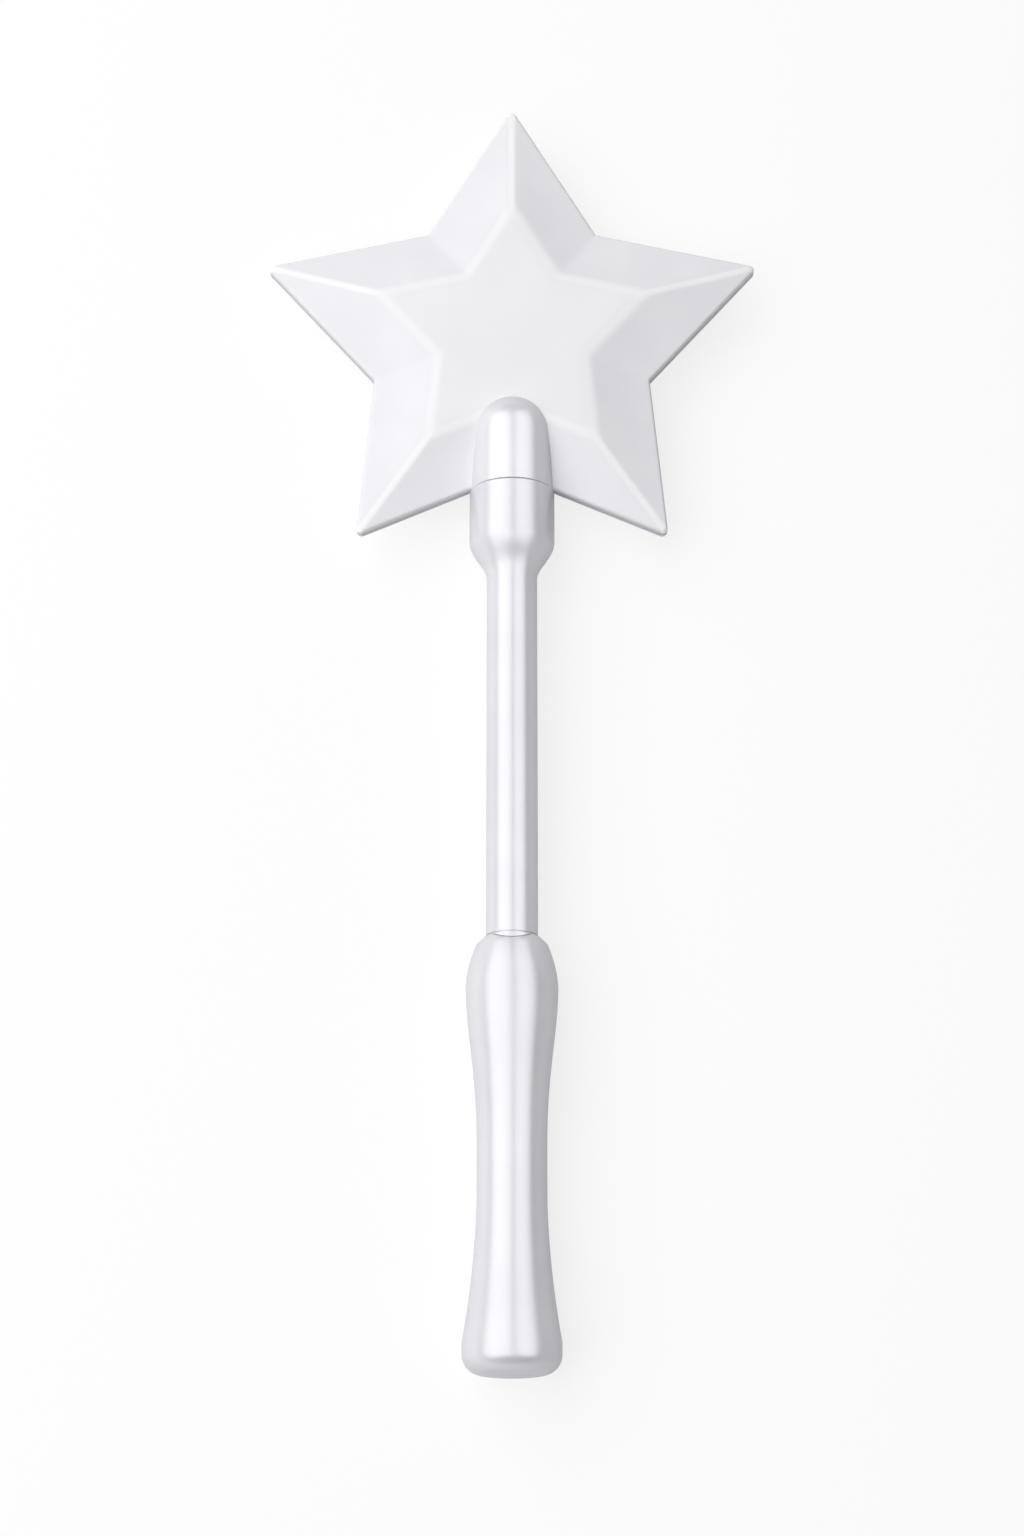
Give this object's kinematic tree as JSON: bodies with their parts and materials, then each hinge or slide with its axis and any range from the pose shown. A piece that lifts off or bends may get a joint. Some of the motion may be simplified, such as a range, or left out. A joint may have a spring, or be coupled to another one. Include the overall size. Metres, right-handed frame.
{
  "type": "magic wand",
  "caption": "Plastic star wand: a faceted hollow star with a flat raised face, on a straight stem with a flared neck and a waisted two-half grip; star and stem pull apart.",
  "frame": {"origin": "on the surface the wand lies on, below the middle of its length and width", "axes": "+Y along the wand from the butt to the star's top tip, +Z out of the star's front face, +X to the right seen from the front"},
  "size_m": [0.1366, 0.3548, 0.0252],
  "materials": {
    "star": "white pearl, satin",
    "stem": "silvery lavender pearl, glossy",
    "grip": "silvery lavender pearl, glossy",
    "screw": "zinc plated"
  },
  "bodies": {
    "grip": {"grip_front_half": "grip", "grip_rear_half": "grip", "grip_screw_1": "screw", "grip_screw_2": "screw", "grip_screw_3": "screw"},
    "stem": {"stem": "stem"},
    "star": {"star_front_shell": "star", "star_rear_shell": "star", "star_screw_1": "screw", "star_screw_2": "screw", "star_screw_3": "screw", "star_screw_4": "screw", "star_screw_5": "screw"}
  },
  "joints": [
    {"name": "stem_pull", "type": "slide", "parent": "grip", "child": "stem", "axis": [0, 1, 0], "range_m": [0, 0.04]},
    {"name": "star_pull", "type": "slide", "parent": "stem", "child": "star", "axis": [0, 1, 0], "range_m": [0, 0.02]}
  ]
}
